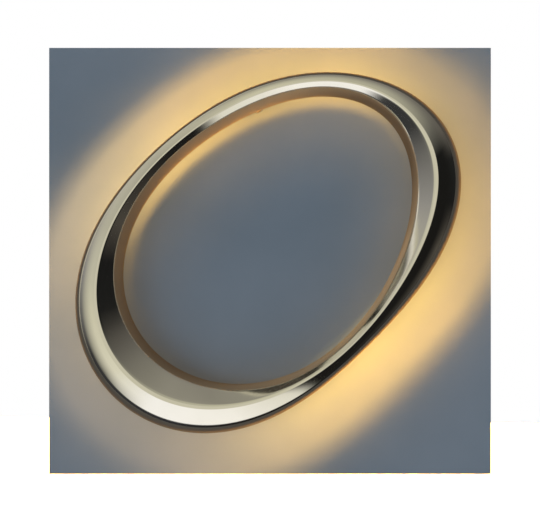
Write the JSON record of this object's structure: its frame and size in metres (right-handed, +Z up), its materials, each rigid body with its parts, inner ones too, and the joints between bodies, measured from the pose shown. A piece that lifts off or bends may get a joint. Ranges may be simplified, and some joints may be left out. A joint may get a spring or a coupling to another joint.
{
  "type": "halo-lit ring sign",
  "caption": "Hollow polished oval ring that stands off a wall and throws a warm glow back on to it.",
  "frame": {"origin": "middle of the rim's outline, on the wall plane behind the ring", "axes": "+X to the right and +Z up as the sign is seen from the front, +Y into the wall; the mirror face looks along -Y"},
  "size_m": [0.5501, 0.0954, 0.5135],
  "materials": {
    "mirror_steel": "mirror-polished stainless steel",
    "mill_steel": "plain stainless fastener and bar stock",
    "opal_panel": "light-diffusing polycarbonate",
    "white_tray": "white reflective coating on aluminium sheet",
    "turned_aluminium": "turned and clear anodised",
    "nylon": "natural nylon",
    "module_plastic": "white potted housing",
    "led_lens": "clear lens over a warm lamp",
    "lead_pvc": "black lead insulation",
    "terminal_plastic": "light grey moulding",
    "brass_screw": "plain brass",
    "gland_nylon": "black nylon moulding"
  },
  "bodies": {
    "wall_mount": {"wall_sockets": "turned_aluminium", "grub_screws": "mill_steel"},
    "light_tray": {"back_panel": "opal_panel", "led_tray": "white_tray", "tray_spacers": "nylon", "stud_washers": "mill_steel", "stud_nuts": "mill_steel", "locator_pins": "turned_aluminium", "pin_washers": "mill_steel", "pin_nuts": "mill_steel", "led_modules": "module_plastic", "led_lenses": "led_lens", "module_screws": "mill_steel", "module_leads": "lead_pvc", "terminal_block": "terminal_plastic", "terminal_screws": "brass_screw", "feed_leads": "lead_pvc", "gland_body": "gland_nylon", "gland_cap": "gland_nylon", "gland_nut": "gland_nylon"},
    "shell": {"face_dome": "mirror_steel", "outer_return": "mirror_steel", "inner_return": "mirror_steel", "cross_bars": "mill_steel", "shell_studs": "mill_steel"}
  },
  "joints": [
    {"name": "tray_lift_off", "type": "slide", "parent": "wall_mount", "child": "light_tray", "axis": [0, -1, 0], "range_m": [0, 0.03]},
    {"name": "shell_lift_off", "type": "slide", "parent": "light_tray", "child": "shell", "axis": [0, -1, 0], "range_m": [0, 0.045]}
  ]
}
